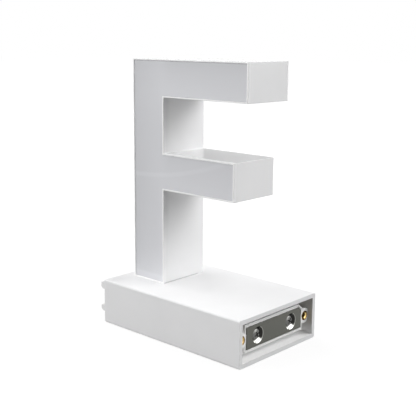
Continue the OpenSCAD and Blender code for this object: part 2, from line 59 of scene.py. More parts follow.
def make_camera():
    yaw, pitch, roll = (math.radians(a) for a in (CAMERA_YAW, CAMERA_PITCH, CAMERA_ROLL))
    right = Vector((math.cos(yaw), math.sin(yaw), 0))
    ahead_flat = Vector((-math.sin(yaw), math.cos(yaw), 0))
    up_flat = Vector((0, 0, 1))
    ahead = math.cos(pitch) * ahead_flat - math.sin(pitch) * up_flat
    up = math.sin(pitch) * ahead_flat + math.cos(pitch) * up_flat
    side = math.cos(roll) * right - math.sin(roll) * up
    top = math.sin(roll) * right + math.cos(roll) * up
    data = bpy.data.cameras.new("camera")
    data.lens = CAMERA_LENS
    data.sensor_width = CAMERA_SENSOR
    data.shift_x, data.shift_y = CAMERA_SHIFT
    data.clip_start = CAMERA_NEAR
    camera = bpy.data.objects.new("camera", data)
    scene.collection.objects.link(camera)
    turn = Matrix((side, top, -ahead)).transposed().to_4x4()
    camera.matrix_world = Matrix.Translation(CAMERA_PLACE) @ turn
    scene.camera = camera


make_camera()
scene.view_settings.view_transform = "Standard"


# Sizes of the broad changes in colour and gloss in metres, and how far they go
CLOUD_SIZE = 0.03
GLOSS_SIZE = 0.02
GLOSS_CHANGE = 0.02
WEAR_SIZE = 0.004
WEAR_SHARES = (0.7, 1.4)
PLASTIC_SHADE = 0.97
COAT_ROUGHNESS = 0.08
ROUND_SAMPLES = 6

# Depth of the bumps as a share of the grain's size
PLASTIC_BUMP = 0.2
METAL_BUMP = 0.1


# Material helpers
def new_material(name):
    material = bpy.data.materials.new(name)
    material.use_nodes = True
    tree = material.node_tree
    return material, tree, tree.nodes["Principled BSDF"]


def noise(tree, size, detail=2, stretch=(1, 1, 1)):
    """Noise in the row frame, with features about size metres wide."""
    coords = tree.nodes.new("ShaderNodeTexCoord")
    mapping = tree.nodes.new("ShaderNodeMapping")
    mapping.inputs["Scale"].default_value = stretch
    texture = tree.nodes.new("ShaderNodeTexNoise")
    texture.inputs["Scale"].default_value = 1 / size
    texture.inputs["Detail"].default_value = detail
    tree.links.new(coords.outputs["Object"], mapping.inputs["Vector"])
    tree.links.new(mapping.outputs["Vector"], texture.inputs["Vector"])
    return texture.outputs["Fac"]


def mapped(tree, value, low, high, start=0.3, end=0.7):
    """Spreads a value between start and end from low to high; a noise fills the default ends."""
    node = tree.nodes.new("ShaderNodeMapRange")
    node.inputs["From Min"].default_value = start
    node.inputs["From Max"].default_value = end
    node.inputs["To Min"].default_value = low
    node.inputs["To Max"].default_value = high
    tree.links.new(value, node.inputs["Value"])
    return node.outputs["Result"]


def set_or_link(tree, socket, value):
    if isinstance(value, bpy.types.NodeSocket):
        tree.links.new(value, socket)
    else:
        socket.default_value = value


def mixed(tree, factor, first, second):
    """Colour between two colours or colour sockets."""
    node = tree.nodes.new("ShaderNodeMix")
    node.data_type = "RGBA"
    tree.links.new(factor, node.inputs["Factor"])
    for socket, colour in ((node.inputs["A"], first), (node.inputs["B"], second)):
        set_or_link(tree, socket, (*colour, 1) if isinstance(colour, tuple) else colour)
    return node.outputs["Result"]


def math_node(tree, operation, *values):
    """Result of one operation on sockets and numbers."""
    node = tree.nodes.new("ShaderNodeMath")
    node.operation = operation
    for socket, value in zip(node.inputs, values):
        set_or_link(tree, socket, value)
    return node.outputs["Value"]


def vector_node(tree, operation, vector):
    """Node of one operation on a vector socket."""
    node = tree.nodes.new("ShaderNodeVectorMath")
    node.operation = operation
    tree.links.new(vector, node.inputs[0])
    return node


def times(tree, colour, share):
    """Colour socket scaled by a value socket."""
    node = vector_node(tree, "SCALE", colour)
    tree.links.new(share, node.inputs["Scale"])
    return node.outputs["Vector"]


def blend(tree, factor, first, second):
    """Value between two values, the first at a factor of 0 and the second at 1."""
    rest = math_node(tree, "SUBTRACT", 1.0, factor)
    one = math_node(tree, "MULTIPLY", rest, first)
    other = math_node(tree, "MULTIPLY", factor, second)
    return math_node(tree, "ADD", one, other)


def band(tree, value, low, high, edge):
    """1 where value lies between low and high, and 0 beyond them by edge."""
    above = mapped(tree, value, 0, 1, low - edge, low)
    below = mapped(tree, value, 1, 0, high, high + edge)
    return math_node(tree, "MULTIPLY", above, below)


def within(tree, value, limit, edge):
    """1 where value lies under limit less edge, and 0 from limit on."""
    return mapped(tree, value, 1, 0, limit - edge, limit)


def place(tree):
    """The point's X, Y and Z in the row frame, in metres."""
    coords = tree.nodes.new("ShaderNodeTexCoord")
    split = tree.nodes.new("ShaderNodeSeparateXYZ")
    tree.links.new(coords.outputs["Object"], split.inputs["Vector"])
    return split.outputs["X"], split.outputs["Y"], split.outputs["Z"]


def from_axis(tree, y0, z0):
    """Distance from the nearer of the axes along X at plus and minus y0, and height above it."""
    _, y, z = place(tree)
    across = math_node(tree, "SUBTRACT", math_node(tree, "ABSOLUTE", y), y0)
    up = math_node(tree, "SUBTRACT", z, z0)
    across_squared = math_node(tree, "POWER", across, 2)
    up_squared = math_node(tree, "POWER", up, 2)
    reach = math_node(tree, "SQRT", math_node(tree, "ADD", across_squared, up_squared))
    return reach, up


def scaled(values, share):
    return tuple(v * share for v in values)


def mottled(tree, colour, shade):
    """Colour that broad clouds take down to a share of itself."""
    clouds = mapped(tree, noise(tree, CLOUD_SIZE, detail=3), 0, 1)
    return mixed(tree, clouds, scaled(colour, shade), colour)


def uneven(tree, roughness):
    """Roughness that varies a little from place to place."""
    clouds = noise(tree, GLOSS_SIZE)
    return mapped(tree, clouds, roughness - GLOSS_CHANGE, roughness + GLOSS_CHANGE)


def rounded(tree, radius):
    """Normals that turn over the sharp edges as if they were rounded."""
    node = tree.nodes.new("ShaderNodeBevel")
    node.samples = ROUND_SAMPLES
    node.inputs["Radius"].default_value = radius
    return node.outputs["Normal"]


def bumped(tree, shader, height, strength, distance, normal=None):
    node = tree.nodes.new("ShaderNodeBump")
    if normal:
        tree.links.new(normal, node.inputs["Normal"])
    node.inputs["Strength"].default_value = strength
    node.inputs["Distance"].default_value = distance
    tree.links.new(height, node.inputs["Height"])
    tree.links.new(node.outputs["Normal"], shader.inputs["Normal"])


def plastic(name, colour, roughness, grain=0.00035, bump=0.08, shade=PLASTIC_SHADE,
            coat=0.0, painted_light=None, turn=0, sheen=0.5):
    """Moulded plastic: fine grain in the surface, broad mottling in colour and gloss."""
    material, tree, shader = new_material(name)
    tone = mottled(tree, colour, shade)
    # Painted shade and light by place, where the material has them
    if painted_light:
        tone = painted_light(tree, tone)
    tree.links.new(tone, shader.inputs["Base Color"])
    tree.links.new(uneven(tree, roughness), shader.inputs["Roughness"])
    shader.inputs["Coat Weight"].default_value = coat
    shader.inputs["Coat Roughness"].default_value = COAT_ROUGHNESS
    shader.inputs["Specular IOR Level"].default_value = sheen
    normal = rounded(tree, turn) if turn else None
    bumped(tree, shader, noise(tree, grain, detail=3), bump, grain * PLASTIC_BUMP, normal)
    return material


def metal(name, colour, roughness, stretch=(1, 1, 1), grain=0.0004, bump=0.05,
          shade=0.85, painted_light=None):
    """Metal with fine lines or mottling in its colour and gloss."""
    material, tree, shader = new_material(name)
    shader.inputs["Metallic"].default_value = 1.0
    lines = noise(tree, grain, detail=4, stretch=stretch)
    tone = mixed(tree, mapped(tree, lines, 0, 1), scaled(colour, shade), colour)
    # Painted shade and light by place, where the material has them
    if painted_light:
        tone = painted_light(tree, tone)
    tree.links.new(tone, shader.inputs["Base Color"])
    wear = mapped(tree, noise(tree, WEAR_SIZE, detail=3), *scaled(WEAR_SHARES, roughness))
    tree.links.new(wear, shader.inputs["Roughness"])
    bumped(tree, shader, lines, bump, grain * METAL_BUMP)
    return material


# Colours, as linear values
WHITE_TUBE = (0.88, 0.88, 0.885)
WHITE_SHELL = (0.88, 0.88, 0.885)
WHITE_SOCKET = (0.97, 0.97, 0.965)
WHITE_PLUG = (0.84, 0.84, 0.84)
RIM_HIGHLIGHT_WHITE = (0.97, 0.97, 0.97)
CUT_WHITE = (0.85, 0.85, 0.855)
LINING_LIT_PALE = (0.97, 0.96, 0.95)
LINING_SHADE_DARK = (0.66, 0.64, 0.61)
FLOOR_PAINTED_LIGHT = (0.97, 0.97, 0.97)
SEAM_SHADE_GREY = (0.6, 0.6, 0.605)
FACE_GREY = (0.645, 0.65, 0.675)
MAGNET_GREY = (0.12, 0.121, 0.108)
SINK_HIGHLIGHT = (0.62, 0.62, 0.595)
SINK_DARK_REFLECTION = (0.025, 0.025, 0.023)
SINK_LIP_HIGHLIGHT = (0.3, 0.3, 0.28)
STEEL = (0.62, 0.62, 0.61)
DARK_STEEL = (0.15, 0.15, 0.145)
RECESS_SHADE_BLACK = (0.02, 0.02, 0.02)
BRASS = (0.24, 0.155, 0.06)
BRASS_HIGHLIGHT = (0.6, 0.44, 0.18)
GOLD = (0.95, 0.72, 0.34)
COPPER = (0.85, 0.52, 0.36)
RUBBER_BLACK = (0.022, 0.022, 0.023)
STRIP_WHITE = (0.8, 0.81, 0.79)
PHOSPHOR_YELLOW = (0.9, 0.78, 0.3)
WIRE_RED = (0.5, 0.02, 0.018)
WIRE_BLACK = (0.02, 0.02, 0.02)

# Outlines of the letter that the painted shade and light follow, in metres
FOOT_Z = 0.033
FACE_LEFT_X = -0.0576
STEM_RIGHT_X = -0.0266
MID_ARM_LOW_Z = 0.1028
MID_ARM_TOP_Z = 0.1293
ARM_SPLIT_Z = 0.15
TOP_ARM_LOW_Z = 0.169
FACE_TOP_Z = 0.1955

# Face: shares of its colour by place, for its painted shade, painted reflections and random
# clouds, and the ends of each change
STEM_SHARES = (0.93, 1.075)
STEM_TOP_SHARE = 0.97
STEM_TOP_Z = (0.165, 0.185)
TOP_ARM_SHARES = (1.095, 0.955)
MID_ARM_SHARES = (1.1, 0.99)
ARM_BLEND = 0.005
EDGE_SHARE = 0.965
EDGE_FADE_Z = 0.185
FOOT_REFLECTION_SHARE = 1.08
FOOT_REFLECTION_TOP_Z = FOOT_Z + 0.0059
FOOT_REFLECTION_EDGE = 0.0008
STREAK_REFLECTION_SHARE = 1.07
STREAK_Z = 0.112
STREAK_RISE = 0.0215
STREAK_START_X = -0.057
STREAK_SPAN = 0.102
STREAK_WIDTHS = (0.0008, 0.0022)
STREAK_FADE = (1, 0.4, 0.5, 1)
FACE_CLOUD_SIZE = 0.05
FACE_CLOUD_SHARE = 1.02
FACE_CLOUD_MOST = 0.5
FACE_GLOSS = (0.10, 0.16)
FACE_GLOSS_SIZE = 0.01
RIPPLE_SIZE = 0.006
RIPPLE_STRENGTH = 0.03
RIPPLE_DEPTH = 0.0004
ACRYLIC_IOR = 1.49


def face_painted_shade(tree, x, z):
    """Share of the face's colour as painted shade and light: duller at the stem's left and the
    top of each arm.
    """
    stem = mapped(tree, x, *STEM_SHARES, FACE_LEFT_X, STEM_RIGHT_X)
    stem = math_node(tree, "MULTIPLY", stem, mapped(tree, z, 1, STEM_TOP_SHARE, *STEM_TOP_Z))
    top_arm = mapped(tree, z, *TOP_ARM_SHARES, TOP_ARM_LOW_Z, FACE_TOP_Z)
    mid_arm = mapped(tree, z, *MID_ARM_SHARES, MID_ARM_LOW_Z, MID_ARM_TOP_Z)
    arm = blend(tree, math_node(tree, "GREATER_THAN", z, ARM_SPLIT_Z), mid_arm, top_arm)
    out = mapped(tree, x, 0, 1, STEM_RIGHT_X - ARM_BLEND, STEM_RIGHT_X + ARM_BLEND)
    edge = mapped(tree, z, 1, EDGE_SHARE, EDGE_FADE_Z, FACE_TOP_Z)
    return math_node(tree, "MULTIPLY", blend(tree, out, stem, arm), edge)


def face_reflection_streak(tree, x, z):
    """1 along a painted reflection streak that rises over the stem and fades out to the right,
    and 0 beside it.
    """
    along = math_node(tree, "SUBTRACT", x, STREAK_START_X)
    along = math_node(tree, "DIVIDE", along, STREAK_SPAN)
    squared = math_node(tree, "MULTIPLY", along, along)
    middle = math_node(tree, "MULTIPLY_ADD", squared, STREAK_RISE, STREAK_Z)
    off = math_node(tree, "ABSOLUTE", math_node(tree, "SUBTRACT", z, middle))
    fade = mapped(tree, along, *STREAK_FADE)
    return math_node(tree, "MULTIPLY", mapped(tree, off, 1, 0, *STREAK_WIDTHS), fade)


def face_material():
    """Glossy acrylic with a painted reflection at its foot, another painted reflection along a
    streak, painted shade by place and a faint ripple.
    """
    material, tree, shader = new_material("face_acrylic")
    x, _, z = place(tree)
    # Painted reflection: a paler band at the face's foot
    foot_reflection = mapped(tree, z, 1, 0, FOOT_REFLECTION_TOP_Z - FOOT_REFLECTION_EDGE, FOOT_REFLECTION_TOP_Z + FOOT_REFLECTION_EDGE)
    colour = mixed(tree, foot_reflection, FACE_GREY, scaled(FACE_GREY, FOOT_REFLECTION_SHARE))
    # Painted reflection along a curved streak
    colour = mixed(tree, face_reflection_streak(tree, x, z), colour, scaled(FACE_GREY, STREAK_REFLECTION_SHARE))
    cloud = mapped(tree, noise(tree, FACE_CLOUD_SIZE), 0, FACE_CLOUD_MOST)
    colour = mixed(tree, cloud, colour, scaled(FACE_GREY, FACE_CLOUD_SHARE))
    # Painted shade and light by place across the face
    colour = times(tree, colour, face_painted_shade(tree, x, z))
    tree.links.new(colour, shader.inputs["Base Color"])
    gloss = mapped(tree, noise(tree, FACE_GLOSS_SIZE, detail=3), *FACE_GLOSS)
    tree.links.new(gloss, shader.inputs["Roughness"])
    shader.inputs["IOR"].default_value = ACRYLIC_IOR
    bumped(tree, shader, noise(tree, RIPPLE_SIZE), RIPPLE_STRENGTH, RIPPLE_DEPTH)
    return material


# Shell: the painted highlight on its rim, the painted shade along the seam at its foot, the gloss
# behind its rim and the painted shade and light on its side wall
RIM_FRONT_Y = -0.0185
RIM_DEPTH = 0.0006
RIM_EDGE = 0.00012
SEAM_Z = 0.0336
SEAM_EDGE_Z = 0.0003
SEAM_X = -0.029
SEAM_EDGE_X = 0.0005
SEAM_FRONT_Y = -0.0168
SEAM_BACK_Y = 0.0172
SEAM_EDGE_Y = 0.002
SHELL_ROUND = 0.0006
SHELL_GRAIN = 0.0005
SHELL_BUMP = 0.03
SHELL_GLOSS = 0.11
SHELL_MATT = 0.38
MATT_START_Y = -0.0172
MATT_END_Y = -0.0140
WALL_LOW_Z = (0.06, 0.09)
WALL_HIGH_Z = (0.1293, 0.155)
WALL_SPLIT_Z = 0.115
WALL_SLOPE = (-0.06, 0.12)
WALL_SLOPE_Y = (-0.014, 0.0235)
WALL_FRONT_DIP = -0.15
WALL_FRONT_Y = (-0.0185, -0.0115)
WALL_HALF = 0.0003
WALL_EDGE = 0.0001


def wall_painted_shade(tree, x, y, z):
    """Painted shade and light on the stem's right side: dull in front and pale behind where an
    arm is above it.
    """
    dip = mapped(tree, y, WALL_FRONT_DIP, 0, *WALL_FRONT_Y)
    slope = math_node(tree, "ADD", mapped(tree, y, *WALL_SLOPE, *WALL_SLOPE_Y), dip)
    low = math_node(tree, "MULTIPLY", mapped(tree, z, 0, 1, *WALL_LOW_Z),
                    math_node(tree, "LESS_THAN", z, WALL_SPLIT_Z))
    under = math_node(tree, "ADD", low, mapped(tree, z, 0, 1, *WALL_HIGH_Z))
    wall = band(tree, x, STEM_RIGHT_X - WALL_HALF, STEM_RIGHT_X + WALL_HALF, WALL_EDGE)
    here = math_node(tree, "MULTIPLY", under, wall)
    return math_node(tree, "MULTIPLY_ADD", slope, here, 1.0)


def seam_painted_shade(tree, x, y, z):
    """1 on a thin line of painted shade at the foot of the stem's right side, and 0 elsewhere."""
    line = math_node(tree, "MULTIPLY", mapped(tree, z, 1, 0, SEAM_Z, SEAM_Z + SEAM_EDGE_Z),
                     band(tree, y, SEAM_FRONT_Y, SEAM_BACK_Y, SEAM_EDGE_Y))
    return math_node(tree, "MULTIPLY", line, mapped(tree, x, 0, 1, SEAM_X - SEAM_EDGE_X, SEAM_X))


def shell_material():
    """Glossy white plastic, matt just behind its front edge, with a painted highlight whitening
    the edge itself, painted shade and light on the stem's right side and a line of painted shade
    at its foot.
    """
    material, tree, shader = new_material("shell_white")
    x, y, z = place(tree)
    # Painted shade and light on the stem's right side
    tone = times(tree, mottled(tree, WHITE_SHELL, PLASTIC_SHADE), wall_painted_shade(tree, x, y, z))
    # Painted highlight: the front edge of the shell is whiter
    rim = within(tree, y, RIM_FRONT_Y + RIM_DEPTH, RIM_EDGE)
    tone = mixed(tree, rim, tone, RIM_HIGHLIGHT_WHITE)
    # Painted shade along the seam at the foot
    tone = mixed(tree, seam_painted_shade(tree, x, y, z), tone, SEAM_SHADE_GREY)
    tree.links.new(tone, shader.inputs["Base Color"])
    matt = mapped(tree, y, SHELL_MATT - SHELL_GLOSS, 0, MATT_START_Y, MATT_END_Y)
    roughness = math_node(tree, "ADD", uneven(tree, SHELL_GLOSS), matt)
    tree.links.new(roughness, shader.inputs["Roughness"])
    grain = noise(tree, SHELL_GRAIN, detail=3)
    normal = rounded(tree, SHELL_ROUND)
    bumped(tree, shader, grain, SHELL_BUMP, SHELL_GRAIN * PLASTIC_BUMP, normal)
    return material


# Tube: the painted shade and light inside it, and its cut ends
LINING_Y = 0.0384
LINING_INNER_Y = LINING_Y - 0.0003
LINING_OUTER_Y = LINING_Y + 0.0004
LINING_Z = (0.0031, 0.0301)
LINING_TONE_Z = (0.005, 0.013)
LINING_FLOOR_Z = (0.0008, 0.0031)
LINING_EDGE = 0.0002
FLOOR_EDGE_Y = 0.0003
FLOOR_EDGE_Z = 0.0004
CUT_X = (0.0655, 0.0658)


def lining_painted_light(tree, tone):
    """Painted light makes the tube whiter on its inner floor, painted shade dulls it up its inner
    walls, and it is dull on its cut ends.
    """
    x, y, z = place(tree)
    across = math_node(tree, "ABSOLUTE", y)
    walls = math_node(tree, "MULTIPLY", band(tree, z, *LINING_Z, LINING_EDGE),
                      band(tree, across, LINING_INNER_Y, LINING_OUTER_Y, LINING_EDGE))
    # Painted shade up the inner walls, paler near the floor
    wall_shade = mixed(tree, mapped(tree, z, 0, 1, *LINING_TONE_Z), LINING_LIT_PALE, LINING_SHADE_DARK)
    tone = mixed(tree, walls, tone, wall_shade)
    # Painted light on the inner floor
    floor = math_node(tree, "MULTIPLY", within(tree, across, LINING_INNER_Y, FLOOR_EDGE_Y),
                      band(tree, z, *LINING_FLOOR_Z, FLOOR_EDGE_Z))
    tone = mixed(tree, floor, tone, FLOOR_PAINTED_LIGHT)
    cut = mapped(tree, math_node(tree, "ABSOLUTE", x), 0, 1, *CUT_X)
    return mixed(tree, cut, tone, CUT_WHITE)


# Magnet and contacts: radii about their axes, and the ends of their painted highlights, painted
# reflections and painted shade
CONNECTOR_Z = 0.0169
SINK_Y = 0.018
SINK_RADIUS = 0.0058
LIP_RADIUS = 0.0055
SINK_EDGE = 0.0001
SINK_LOW = (-0.8, -0.66)
HEAD_HIGH = (0.2, 0.6)
HEAD_LOW_SHARE = 0.7
CONTACT_AXIS_Y = 0.0346
HIGHLIGHT_RADII = (0.0023, 0.0026)
BORE_RADII = (0.0016, 0.0018)
BORE_SHADE_SHARE = 0.08


def sink_painted_reflection(tree, tone):
    """Each countersink carries a painted reflection, bright below and dark above, with a painted
    highlight on its pale lip.
    """
    reach, up = from_axis(tree, SINK_Y, CONNECTOR_Z)
    low = mapped(tree, math_node(tree, "DIVIDE", up, reach), 1, 0, *SINK_LOW)
    # Painted reflection: bright below, dark above
    sink_reflection = mixed(tree, low, SINK_DARK_REFLECTION, SINK_HIGHLIGHT)
    lip = mapped(tree, reach, 0, 1, LIP_RADIUS - SINK_EDGE, LIP_RADIUS)
    sink_reflection = mixed(tree, lip, sink_reflection, mixed(tree, low, SINK_LIP_HIGHLIGHT, SINK_HIGHLIGHT))
    return mixed(tree, within(tree, reach, SINK_RADIUS, SINK_EDGE), tone, sink_reflection)


def edge_painted_highlight(tree, tone):
    """A painted highlight makes the edge of a magnet screw's head bright above, and it is dull
    below.
    """
    reach, up = from_axis(tree, SINK_Y, CONNECTOR_Z)
    # Painted highlight on the upper side of the head's edge
    high = mapped(tree, math_node(tree, "DIVIDE", up, reach), 0, 1, *HEAD_HIGH)
    return mixed(tree, high, scaled(DARK_STEEL, HEAD_LOW_SHARE), tone)


def contact_painted_light(tree, tone):
    """A painted highlight rings each bore, and painted shade darkens the bore inside."""
    reach, _ = from_axis(tree, CONTACT_AXIS_Y, CONNECTOR_Z)
    # Painted highlight round each bore
    tone = mixed(tree, mapped(tree, reach, 1, 0, *HIGHLIGHT_RADII), tone, BRASS_HIGHLIGHT)
    # Painted shade inside each bore
    return mixed(tree, mapped(tree, reach, 1, 0, *BORE_RADII), tone, scaled(BRASS, BORE_SHADE_SHARE))


tube_white = plastic("tube_white", WHITE_TUBE, 0.55, painted_light=lining_painted_light, sheen=0.04)
shell_white = shell_material()
back_white = plastic("back_white", WHITE_SHELL, 0.45, grain=0.0004, bump=0.12, turn=0.0003)
socket_white = plastic("socket_white", WHITE_SOCKET, 0.2, grain=0.0003)
plug_white = plastic("plug_white", WHITE_PLUG, 0.35, grain=0.0003, bump=0.1)
magnet_nickel = metal("magnet_nickel", MAGNET_GREY, 0.14, grain=0.0006, bump=0.03,
                      shade=0.9, painted_light=sink_painted_reflection)
screw_steel = metal("screw_steel", STEEL, 0.22, grain=0.0002, bump=0.1)
screw_dark = metal("screw_dark", DARK_STEEL, 0.2, grain=0.0002, bump=0.1)
# Painted highlight for the edges of screw heads
screw_edge_highlight = metal("screw_edge_highlight", STEEL, 0.2, grain=0.0002, bump=0.1, painted_light=edge_painted_highlight)
# Painted shade: black for the inside of cross recesses
recess_shade_black = metal("recess_shade_black", RECESS_SHADE_BLACK, 0.4, grain=0.0002, bump=0.1)
contact_brass = metal("contact_brass", BRASS, 0.18, grain=0.00025, bump=0.1,
                      painted_light=contact_painted_light)
pin_gold = metal("pin_gold", GOLD, 0.14, grain=0.0002)
plate_steel = metal("plate_steel", STEEL, 0.35, stretch=(1, 12, 12), grain=0.001, bump=0.15)
spring_steel = metal("spring_steel", scaled(STEEL, 0.9), 0.25, grain=0.0003)
jumper_copper = metal("jumper_copper", COPPER, 0.25, grain=0.0003)
grommet_rubber = plastic("grommet_rubber", RUBBER_BLACK, 0.6, grain=0.0004, bump=0.2,
                         shade=0.8)
strip_white = plastic("strip_white", STRIP_WHITE, 0.5, grain=0.0005)
led_phosphor = plastic("led_phosphor", PHOSPHOR_YELLOW, 0.2, grain=0.0002, bump=0.05,
                       coat=0.4)
wire_red = plastic("wire_red", WIRE_RED, 0.4, grain=0.0004, shade=0.85)
wire_black = plastic("wire_black", WIRE_BLACK, 0.4, grain=0.0004, shade=0.7)

# Material of each node, and the radius of its edges in millimetres
LOOKS = {
    "base_tube": (tube_white, 0.35), "letter_shell": (shell_white, 0.4),
    "face_panel": (face_material(), 0.1), "back_panel": (back_white, 0),
    "foot_plate": (plate_steel, 0.1), "letter_screws": (screw_steel, 0.1),
    "grommet": (grommet_rubber, 0.2), "led_strip_stem": (strip_white, 0),
    "led_strip_top": (strip_white, 0), "led_strip_middle": (strip_white, 0),
    "led_packages": (led_phosphor, 0.05), "strip_jumpers": (jumper_copper, 0),
    "socket_body": (socket_white, 0.15), "plug_body": (plug_white, 0.15),
    "socket_magnet": (magnet_nickel, 0.1), "plug_magnet": (magnet_nickel, 0.1),
    "socket_magnet_screws": (screw_steel, 0), "plug_magnet_screws": (screw_steel, 0),
    "back_panel_screws": (screw_steel, 0), "connector_screws": (screw_steel, 0),
    "socket_sleeve_front": (contact_brass, 0.06), "socket_sleeve_rear": (contact_brass, 0.06),
    "plug_barrel_front": (contact_brass, 0.06), "plug_barrel_rear": (contact_brass, 0.06),
    "plug_pin_front": (pin_gold, 0.05), "plug_pin_rear": (pin_gold, 0.05),
    "plug_spring_front": (spring_steel, 0), "plug_spring_rear": (spring_steel, 0),
    "bus_wire_front": (wire_red, 0), "bus_wire_rear": (wire_black, 0),
    "feed_wire_front": (wire_red, 0), "feed_wire_rear": (wire_black, 0),
}
WELD_REACH = 1e-6
SHARP_ANGLE = 35
SWEPT_ANGLE = 50


def soften(piece, width):
    """Rounds a piece's sharp edges and keeps its flat faces flat."""
    weld = piece.modifiers.new("weld", "WELD")
    weld.merge_threshold = WELD_REACH
    bevel = piece.modifiers.new("bevel", "BEVEL")
    bevel.width = width
    bevel.segments = 3
    bevel.limit_method = "ANGLE"
    bevel.angle_limit = math.radians(SHARP_ANGLE)
    bevel.use_clamp_overlap = True
    bevel.miter_outer = "MITER_ARC"
    normals = piece.modifiers.new("normals", "WEIGHTED_NORMAL")
    normals.keep_sharp = True


def dress(name, material, edge):
    piece = nodes[name]
    piece.data.materials.clear()
    piece.data.materials.append(material)
    if edge > 0:
        soften(piece, edge * MM)


for name, (material, edge) in LOOKS.items():
    dress(name, material, edge)


# Pieces made here are drawn in millimetres and scaled to metres before they are linked
def add_piece(name, form, material):
    mesh = bpy.data.meshes.new(name)
    form.to_mesh(mesh)
    form.free()
    mesh.materials.append(material)
    piece = bpy.data.objects.new(name, mesh)
    scene.collection.objects.link(piece)
    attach(piece, ROOT)
    return piece


def smooth_piece(piece, angle):
    """Smooth shading across the edges that bend by less than angle."""
    limit = math.cos(math.radians(angle))
    form = bmesh.new()
    form.from_mesh(piece.data)
    for face in form.faces:
        face.smooth = True
    for edge in form.edges:
        faces = edge.link_faces
        edge.smooth = len(faces) == 2 and faces[0].normal.dot(faces[1].normal) > limit
    form.to_mesh(piece.data)
    form.free()


def turned_profile(form, profile, sides):
    """Turns points of radius and height about the Z axis; a radius of 0 closes an end."""
    rings = []
    for radius, height in profile:
        if radius == 0:
            rings.append([form.verts.new((0, 0, height))])
            continue
        angles = [2 * math.pi * i / sides for i in range(sides)]
        points = [(radius * math.cos(a), radius * math.sin(a), height) for a in angles]
        rings.append([form.verts.new(p) for p in points])
    for low, high in zip(rings, rings[1:]):
        for i in range(sides):
            j = (i + 1) % sides
            corners = [low[i % len(low)], low[j % len(low)]]
            corners += [high[j % len(high)], high[i % len(high)]]
            form.faces.new(list(dict.fromkeys(corners)))
    return rings


# Cross recess: tapered wings about a round middle, as shares of the head's diameter
WING_SPAN = 0.29
WING_HALF = 0.052
RECESS_FLOOR = 0.36
RECESS_DEPTH = 0.2
HEAD_CROWN = 0.02

# Ends of a wing as shares of its span and half width, and the corner between two wings
WING_END = ((1, -1), (1.04, -0.4), (1.04, 0.4), (1, 1))
WING_FILLET = 0.9
FILLET_STEPS = 3


def cross_outline(span, half):
    """Points of a cross with rounded inner corners, turning left round the middle."""
    fillet = half * WING_FILLET
    middle = half + fillet
    corner = []
    for i in range(FILLET_STEPS + 1):
        a = math.radians(270 - 90 * i / FILLET_STEPS)
        corner.append((middle + fillet * math.cos(a), middle + fillet * math.sin(a)))
    arm = [(span * out, half * side) for out, side in WING_END]
    points = []
    for quarter in range(4):
        turn = Matrix.Rotation(quarter * math.pi / 2, 2)
        points += [turn @ Vector(p) for p in arm + corner]
    return points


def head_top(form, rim, diameter, twist):
    """Fills a screw's head with a slightly crowned face and a tapered cross recess."""
    turn = Matrix.Rotation(math.radians(twist), 2)
    outline = [turn @ p for p in cross_outline(WING_SPAN * diameter, WING_HALF * diameter)]
    crown = rim[0].co.z + HEAD_CROWN * diameter
    bottom = crown - RECESS_DEPTH * diameter
    mouth = [form.verts.new((p.x, p.y, crown)) for p in outline]
    floor = [form.verts.new((p.x * RECESS_FLOOR, p.y * RECESS_FLOOR, bottom)) for p in outline]
    count = len(mouth)
    recess = [form.faces.new(list(reversed(floor)))]
    for i in range(count):
        j = (i + 1) % count
        recess.append(form.faces.new((mouth[j], mouth[i], floor[i], floor[j])))
    # The cross recess takes the second material, black as painted shade
    for face in recess:
        face.material_index = 1
    edges = [form.edges.get((mouth[i], mouth[(i + 1) % count])) for i in range(count)]
    edges += [form.edges.get((rim[i], rim[(i + 1) % len(rim)])) for i in range(len(rim))]
    bmesh.ops.triangle_fill(form, edges=edges, use_beauty=True, normal=(0, 0, 1))


# Shanks of screws: shares of the shank's diameter
TIP_WIDTH = 0.3
TIP_HEIGHT = 0.35
THREAD_PITCH = 0.25
THREAD_ROOT = 0.42

# Heads of screws: shares of the head's diameter; EDGE_SIDE and EDGE_TOP are shares of its
# rounded edge, and the second value in PAN_CURVE is a share of its height
HEAD_EDGE = 0.05
EDGE_SIDE = 0.4
EDGE_TOP = 0.6
RAISED_RIM = 0.04
PAN_CURVE = ((0.5, 0.45), (0.47, 0.72), (0.42, 0.88))
PAN_TOP = 0.38
DOME_DEGREES = (12, 24, 36, 48)
SCREW_SIDES = 40


def shank_tip(shank, length):
    return [(0, -length), (shank * TIP_WIDTH, -length), (shank / 2, -length + shank * TIP_HEIGHT)]


def threaded_shank(shank, length, top):
    """Profile of a shank with a thread, from its tip up to the cone of its head."""
    profile = shank_tip(shank, length)
    pitch = shank * THREAD_PITCH
    turns = int((length + top - shank * TIP_HEIGHT - pitch) / pitch)
    for i in range(turns):
        z = -length + shank * TIP_HEIGHT + pitch * (i + 0.5)
        profile += [(shank * THREAD_ROOT, z), (shank / 2, z + pitch / 2)]
    return profile + [(shank / 2, top)]


def finished_screw(profile, head, twist, bright_edge=False):
    form = bmesh.new()
    rings = turned_profile(form, profile, SCREW_SIDES)
    if bright_edge:
        for face in {face for corner in rings[-1] for face in corner.link_faces}:
            face.material_index = 2
    head_top(form, rings[-1], head, twist)
    bmesh.ops.recalc_face_normals(form, faces=form.faces)
    return form


def flat_head_screw(head, shank, length, twist):
    """Countersunk screw along -Z with the top of its head at z = 0."""
    edge = HEAD_EDGE * head
    rim_z = -HEAD_CROWN * head
    rim = head / 2 + rim_z - edge
    profile = threaded_shank(shank, length, -(head - shank) / 2)
    profile += [(rim, rim_z - edge), (rim, rim_z - edge * EDGE_SIDE)]
    profile.append((rim - edge * EDGE_TOP, rim_z))
    return finished_screw(profile, head, twist, bright_edge=True)


